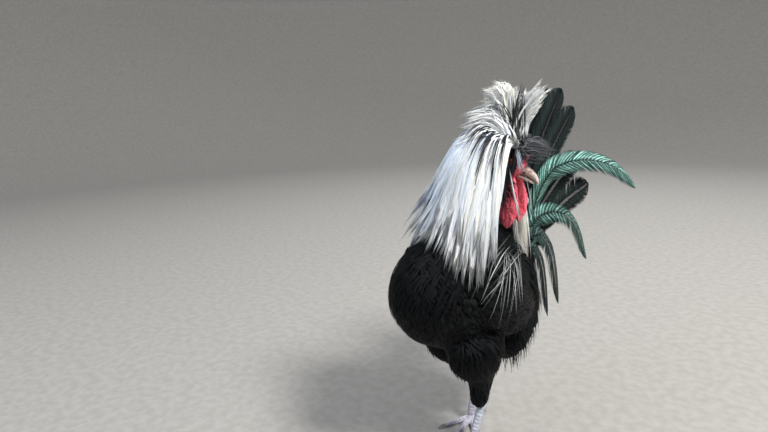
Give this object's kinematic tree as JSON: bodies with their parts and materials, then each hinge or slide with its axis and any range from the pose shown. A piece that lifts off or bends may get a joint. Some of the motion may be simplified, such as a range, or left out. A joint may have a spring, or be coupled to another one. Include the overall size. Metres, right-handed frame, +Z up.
{
  "type": "white crested black polish cock",
  "caption": "Life-size still model of a crested cock, standing, with its head turned back to its left.",
  "frame": {"origin": "on the floor, under the middle of the bird's box", "axes": "the bird faces -Y, its left side is +X and +Z is up"},
  "size_m": [0.1984, 0.492, 0.5284],
  "materials": {
    "black_plume": "glossy black contour feathers with a faint green sheen",
    "white_crest": "long soft white crest feathers, a few streaked black",
    "tail_plume": "black tail feathers with a beetle-green sheen",
    "face": "bright red pebbled bare skin",
    "earlobe": "matte white skin",
    "beak": "horn with a pink flush and a dark ridge",
    "eye": "wet, red-bay iris and black pupil",
    "shank": "pale slate scales with dark specks",
    "claw": "horn"
  },
  "bodies": {
    "root": {"eye_left": "eye", "eye_right": "eye", "beak_upper": "beak", "beak_lower": "beak", "head": "face", "comb_left": "face", "earlobe_left": "earlobe", "comb_right": "face", "earlobe_right": "earlobe", "crest_knob": "white_crest", "crest_tall_tuft": "white_crest", "crest_curled_tuft": "white_crest", "crest_front": "black_plume", "crest_right": "white_crest", "crest_back": "white_crest", "crest_left": "white_crest", "trunk": "black_plume", "neck": "black_plume", "wattle_left": "face", "wattle_right": "face", "vent_fluff": "black_plume", "thigh_left": "black_plume", "claw_left_middle": "claw", "claw_left_inner": "claw", "claw_left_outer": "claw", "claw_left_hind": "claw", "foot_left": "shank", "shank_left": "shank", "spur_left": "claw", "wing_left": "black_plume", "thigh_right": "black_plume", "claw_right_middle": "claw", "claw_right_inner": "claw", "claw_right_outer": "claw", "claw_right_hind": "claw", "foot_right": "shank", "shank_right": "shank", "spur_right": "claw", "wing_right": "black_plume", "tail_left_1": "tail_plume", "tail_left_2": "tail_plume", "tail_left_3": "tail_plume", "tail_left_4": "tail_plume", "sickle_left": "tail_plume", "lesser_sickle_left_1": "tail_plume", "lesser_sickle_left_2": "tail_plume", "lesser_sickle_left_3": "tail_plume", "tail_right_1": "tail_plume", "tail_right_2": "tail_plume", "tail_right_3": "tail_plume", "tail_right_4": "tail_plume", "sickle_right": "tail_plume", "lesser_sickle_right_1": "tail_plume", "lesser_sickle_right_2": "tail_plume", "lesser_sickle_right_3": "tail_plume"}
  },
  "joints": []
}
